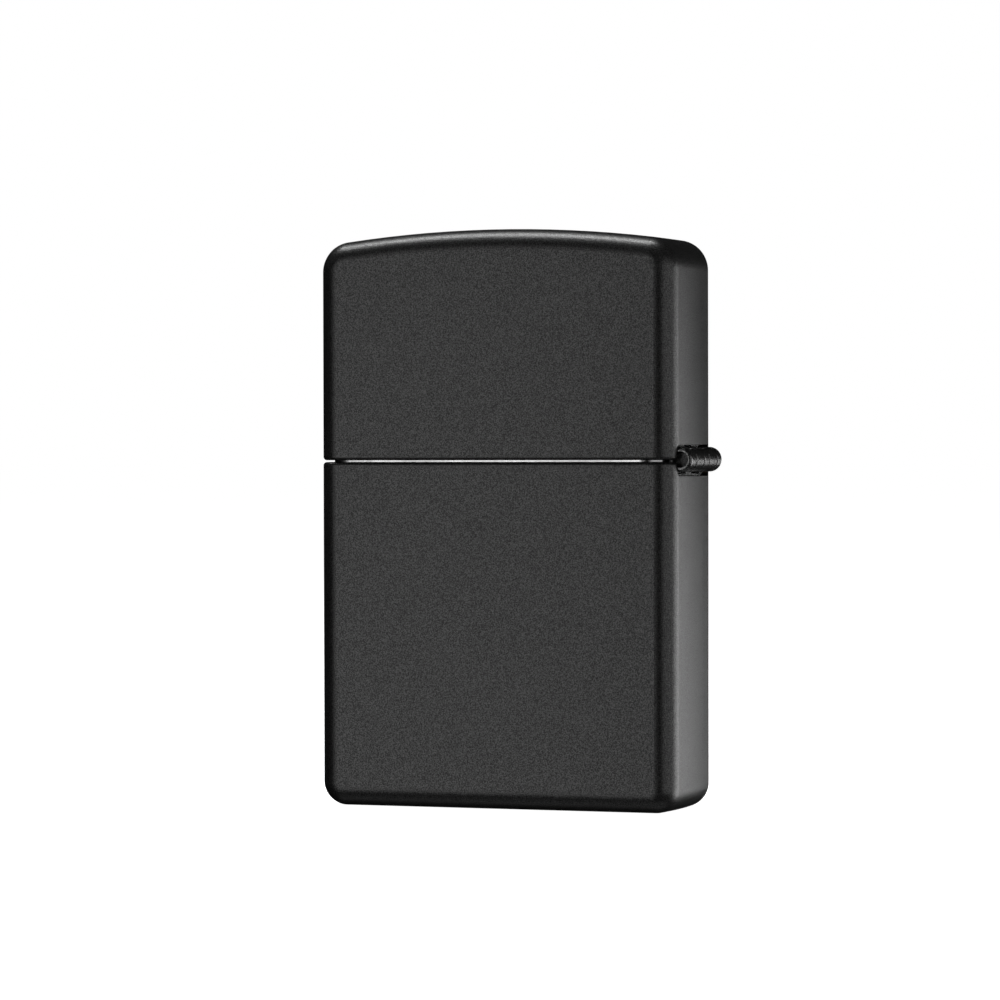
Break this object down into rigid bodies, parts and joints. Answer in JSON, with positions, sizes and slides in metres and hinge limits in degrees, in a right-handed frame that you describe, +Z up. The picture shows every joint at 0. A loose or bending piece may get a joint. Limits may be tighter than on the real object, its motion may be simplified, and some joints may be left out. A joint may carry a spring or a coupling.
{
  "type": "flip-top pocket lighter",
  "caption": "Slim flip-top pocket lighter in a matte black case with an arched lid, side hinge, perforated chimney, spark wheel and wick.",
  "frame": {"origin": "middle of the case's flat base, leaving out the hinge's barrel, at the surface it stands on", "axes": "+Z up, +X along the width towards the hinge, +Y through the depth, away from the viewer of the front face"},
  "size_m": [0.0388, 0.0126, 0.0568],
  "materials": {
    "black_coat": "matte, finely textured",
    "hinge_coat": "satin",
    "pin_steel": "satin",
    "insert_steel": "satin",
    "wheel_steel": "hardened, dark",
    "rivet_steel": "satin",
    "cam_steel": "satin",
    "spring_steel": "satin",
    "brass": "satin",
    "flint": "dull",
    "wick_cotton": "woven",
    "felt": "felted",
    "cotton": "loose fibre"
  },
  "bodies": {
    "case": {"case_shell": "black_coat", "case_hinge_leaf": "hinge_coat", "hinge_pin": "pin_steel", "fuel_tank": "insert_steel", "chimney": "insert_steel", "wheel_rivet": "rivet_steel", "cam_rivet": "rivet_steel", "cam_spring": "spring_steel", "cam_spring_rivet": "rivet_steel", "flint_tube": "brass", "flint_spring": "spring_steel", "flint_screw": "brass", "wick": "wick_cotton", "felt_pad": "felt", "cotton_pad_1": "cotton", "cotton_pad_2": "cotton", "cotton_pad_3": "cotton", "cotton_pad_4": "cotton", "cotton_pad_5": "cotton"},
    "lid": {"lid_shell": "black_coat", "lid_hinge_leaf": "hinge_coat"},
    "spark_wheel": {"spark_wheel": "wheel_steel"},
    "cam": {"cam": "cam_steel"},
    "flint_follower": {"flint": "flint", "flint_plunger": "brass"}
  },
  "joints": [
    {"name": "lid_hinge", "type": "hinge", "parent": "case", "child": "lid", "pos_m": [0.01875, 0, 0.03425], "axis": [0, 1, 0], "range_deg": [0, 130]},
    {"name": "wheel_spin", "type": "hinge", "parent": "case", "child": "spark_wheel", "pos_m": [-0.0127, 0, 0.0412], "axis": [0, 1, 0], "continuous": true},
    {"name": "cam_pivot", "type": "hinge", "parent": "case", "child": "cam", "pos_m": [0.0133, 0, 0.039], "axis": [0, -1, 0], "range_deg": [0, 12], "stiffness_Nm_per_rad": 0.02, "springref_deg": -17.19, "deforming": ["cam_spring"]},
    {"name": "flint_feed", "type": "slide", "parent": "case", "child": "flint_follower", "axis": [0, 0, 1], "range_m": [-0.002, 0], "stiffness_N_per_m": 150, "springref_m": 0.008, "deforming": ["flint_spring"]}
  ]
}
